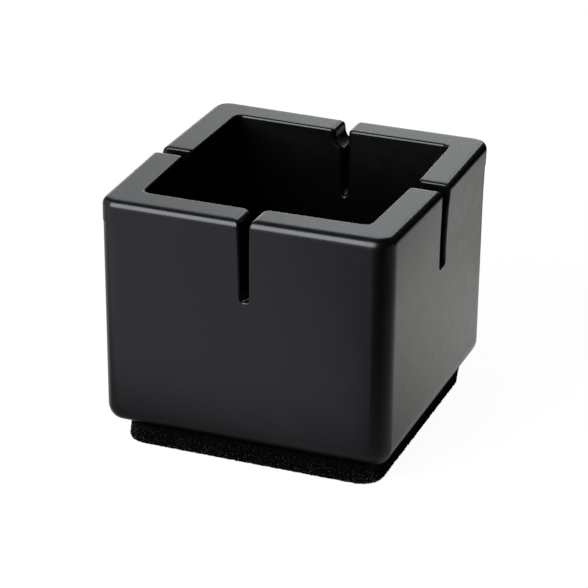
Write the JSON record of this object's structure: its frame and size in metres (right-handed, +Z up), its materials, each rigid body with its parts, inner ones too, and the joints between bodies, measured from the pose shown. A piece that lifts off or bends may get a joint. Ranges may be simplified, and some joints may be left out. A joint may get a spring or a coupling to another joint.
{
  "type": "chair leg cap",
  "caption": "Square elastic cap for the end of a chair leg: thick slotted walls grip the leg and a felt pad bonded under the base glides on the floor.",
  "frame": {"origin": "middle of the felt's underside, where the cap meets the floor", "axes": "+Z up along the leg, out of the socket; X and Y square to the walls"},
  "size_m": [0.04, 0.04, 0.0353],
  "materials": {
    "cap_rubber": "satin black moulded silicone rubber",
    "adhesive_film": "dark double-sided adhesive film",
    "felt": "dense black needle felt with pale fibre ends"
  },
  "bodies": {
    "root": {"cap_body": "cap_rubber", "adhesive_layer": "adhesive_film", "felt_pad": "felt"}
  },
  "joints": []
}
